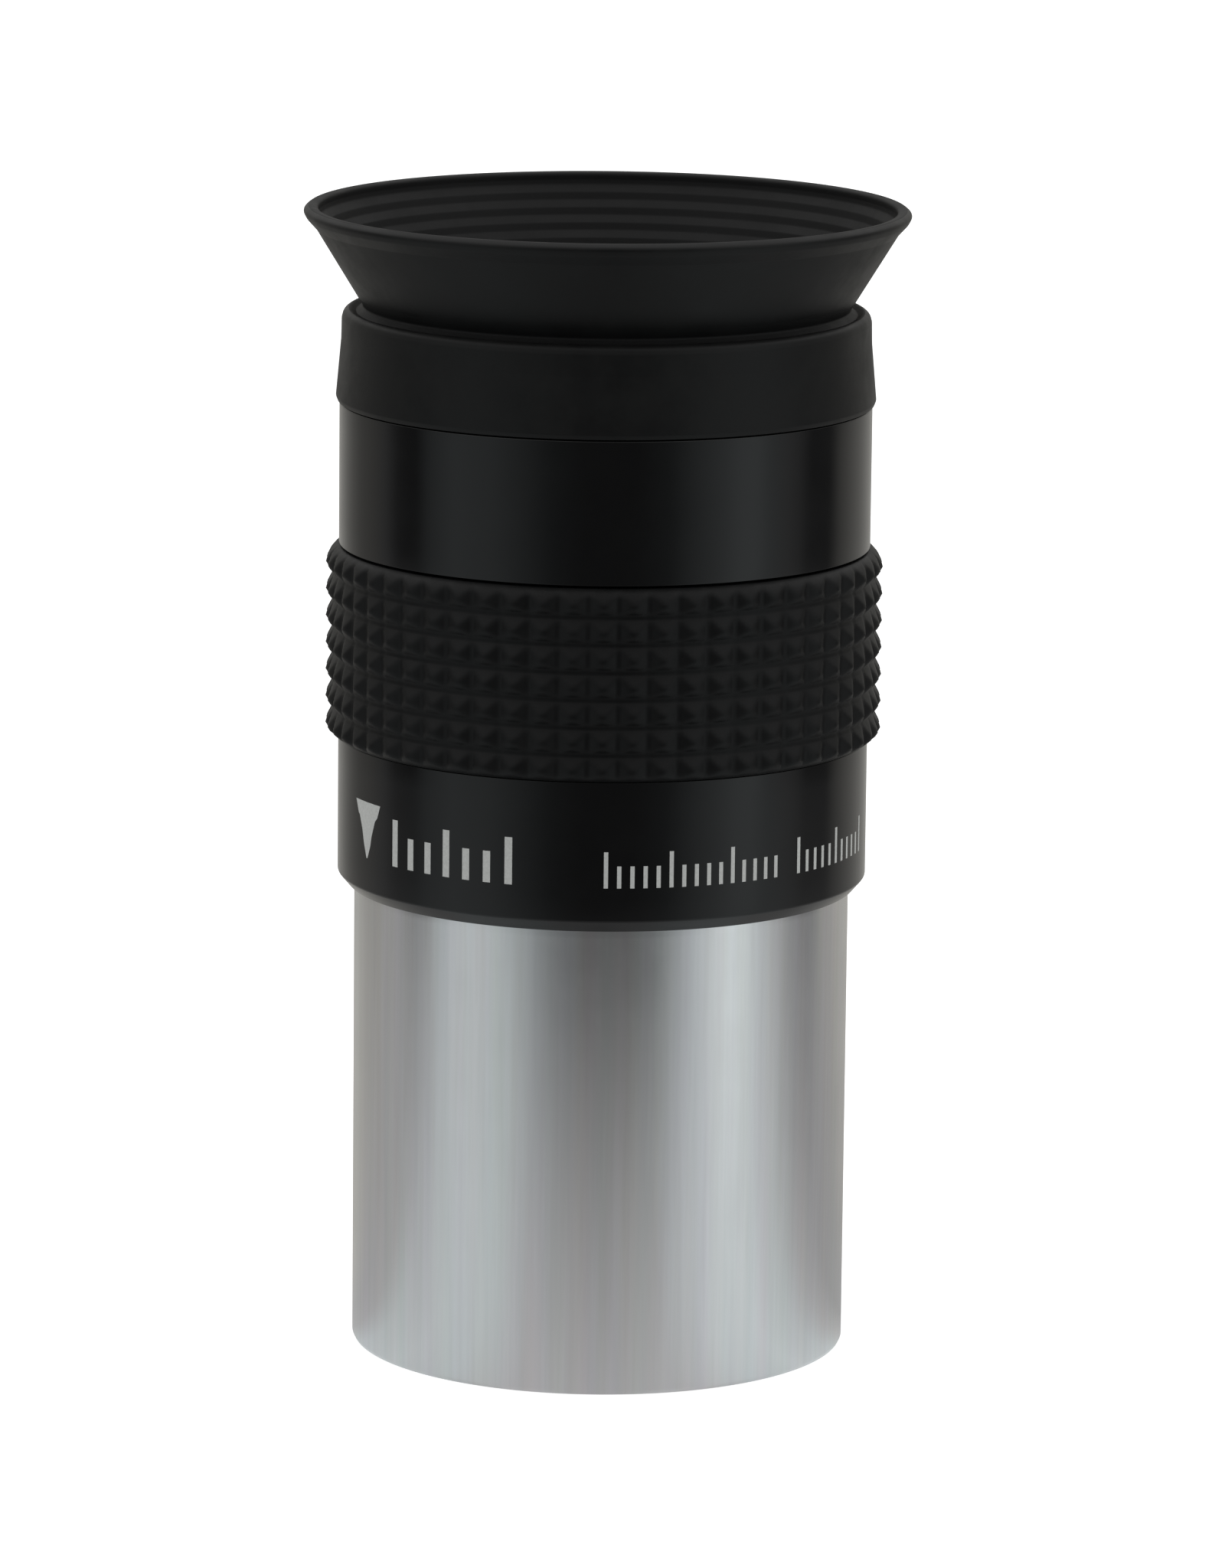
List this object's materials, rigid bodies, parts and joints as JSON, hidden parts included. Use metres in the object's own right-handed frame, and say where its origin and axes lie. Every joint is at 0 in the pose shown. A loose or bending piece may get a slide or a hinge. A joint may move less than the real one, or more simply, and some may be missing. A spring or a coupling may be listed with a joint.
{
  "type": "telescope eyepiece",
  "caption": "Round telescope eyepiece with a smooth push-in barrel, a ribbed grip sleeve, a lens stack and a flared fold-down rubber eyecup.",
  "frame": {"origin": "centre of the barrel's bottom end, on the surface that the eyepiece stands on", "axes": "+Z along the optical axis, from the barrel's bottom end towards the eye; +Y points away from the front view"},
  "size_m": [0.0386, 0.0386, 0.0736],
  "materials": {
    "chrome_barrel": "polished chrome plate with fine turning marks along it",
    "black_anodised": "glossy black anodised",
    "matt_black_metal": "matt black anodised, against stray light",
    "grip_rubber": "moulded black rubber with pyramids",
    "eyecup_rubber": "soft matt black rubber",
    "crown_glass": "polished optical crown glass, coated",
    "flint_glass": "polished optical flint glass, coated",
    "pale_print": "pale printed marks on the housing, a visual piece of its own"
  },
  "bodies": {
    "barrel": {"barrel": "chrome_barrel"},
    "field_stop": {"field_stop": "matt_black_metal"},
    "head": {"housing": "black_anodised", "grip_sleeve": "grip_rubber", "eye_lens_flint": "flint_glass", "eye_lens_crown": "crown_glass", "lens_spacer": "matt_black_metal", "field_lens_crown": "crown_glass", "field_lens_flint": "flint_glass", "lens_retaining_ring": "matt_black_metal"},
    "eyecup": {"eyecup_collar": "eyecup_rubber", "eyecup_flare": "eyecup_rubber"},
    "eyecup_rim": {"eyecup_rim": "eyecup_rubber"}
  },
  "joints": [
    {"name": "barrel_thread_turn", "type": "hinge", "parent": "barrel", "child": "field_stop", "pos_m": [0, 0, 0.03], "axis": [0, 0, 1], "range_deg": [0, 1500]},
    {"name": "barrel_thread_lift", "type": "slide", "parent": "field_stop", "child": "head", "axis": [0, 0, 1], "range_m": [0, 0.00313]},
    {"name": "eyecup_turn", "type": "hinge", "parent": "head", "child": "eyecup", "pos_m": [0, 0, 0.064], "axis": [0, 0, 1], "continuous": true},
    {"name": "eyecup_fold", "type": "slide", "parent": "eyecup", "child": "eyecup_rim", "axis": [0, 0, 1], "range_m": [-0.009, 0], "deforming": ["eyecup_flare"]}
  ],
  "couplings": [
    {"joint": "barrel_thread_turn", "follows": "barrel_thread_lift", "rad_per_m": 8377.6}
  ]
}
